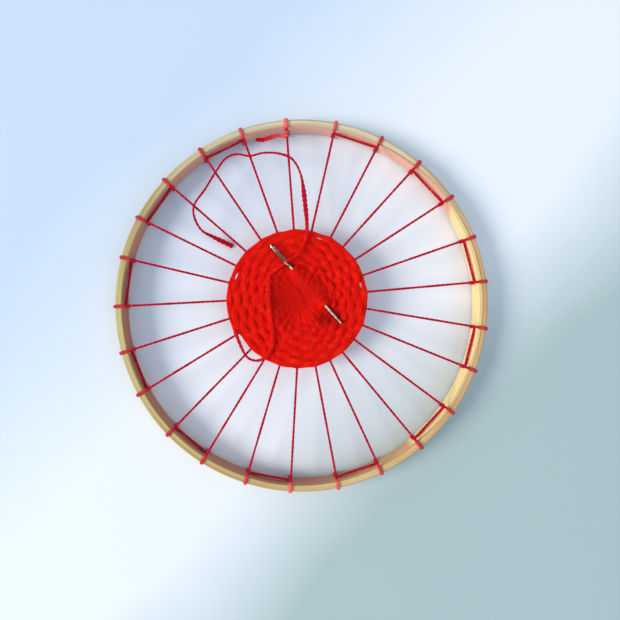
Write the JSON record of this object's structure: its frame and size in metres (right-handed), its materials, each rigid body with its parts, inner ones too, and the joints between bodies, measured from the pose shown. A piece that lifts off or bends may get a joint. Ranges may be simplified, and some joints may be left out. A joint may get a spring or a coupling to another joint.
{
  "type": "round weaving frame",
  "caption": "Round wooden hoop wound with a radial yarn warp, with a woven disc begun in the middle and a steel needle parked in it.",
  "frame": {"origin": "on the surface that the frame lies on, under the middle of the hoop", "axes": "+Z out of the front, where the spokes are; +Y up the front, about 5 degrees clockwise of the starting knot; +X to the right"},
  "size_m": [0.2017, 0.2019, 0.0189],
  "materials": {
    "hoop_wood": "fine sanded, unvarnished",
    "yarn": "plied scarlet yarn",
    "needle_steel": "polished steel"
  },
  "bodies": {
    "frame": {"hoop": "hoop_wood", "warp_spoke_01": "yarn", "warp_spoke_02": "yarn", "warp_spoke_03": "yarn", "warp_spoke_04": "yarn", "warp_spoke_05": "yarn", "warp_spoke_06": "yarn", "warp_spoke_07": "yarn", "warp_spoke_08": "yarn", "warp_spoke_09": "yarn", "warp_spoke_10": "yarn", "warp_spoke_11": "yarn", "warp_spoke_12": "yarn", "warp_spoke_13": "yarn", "warp_spoke_14": "yarn", "warp_spoke_15": "yarn", "warp_spoke_16": "yarn", "warp_spoke_17": "yarn", "warp_spoke_18": "yarn", "warp_spoke_19": "yarn", "warp_spoke_20": "yarn", "warp_spoke_21": "yarn", "warp_spoke_22": "yarn", "warp_spoke_23": "yarn", "warp_spoke_24": "yarn", "warp_spoke_25": "yarn", "rim_turn_01": "yarn", "rim_turn_02": "yarn", "rim_turn_03": "yarn", "rim_turn_04": "yarn", "rim_turn_05": "yarn", "rim_turn_06": "yarn", "rim_turn_07": "yarn", "rim_turn_08": "yarn", "rim_turn_09": "yarn", "rim_turn_10": "yarn", "rim_turn_11": "yarn", "rim_turn_12": "yarn", "start_knot": "yarn", "weft_spiral": "yarn", "woven_centre": "yarn", "working_yarn": "yarn"},
    "needle": {"needle": "needle_steel"}
  },
  "joints": [
    {"name": "needle_slide", "type": "slide", "parent": "frame", "child": "needle", "axis": [0.6702, -0.7418, -0.024], "range_m": [-0.0004, 0.003]}
  ]
}
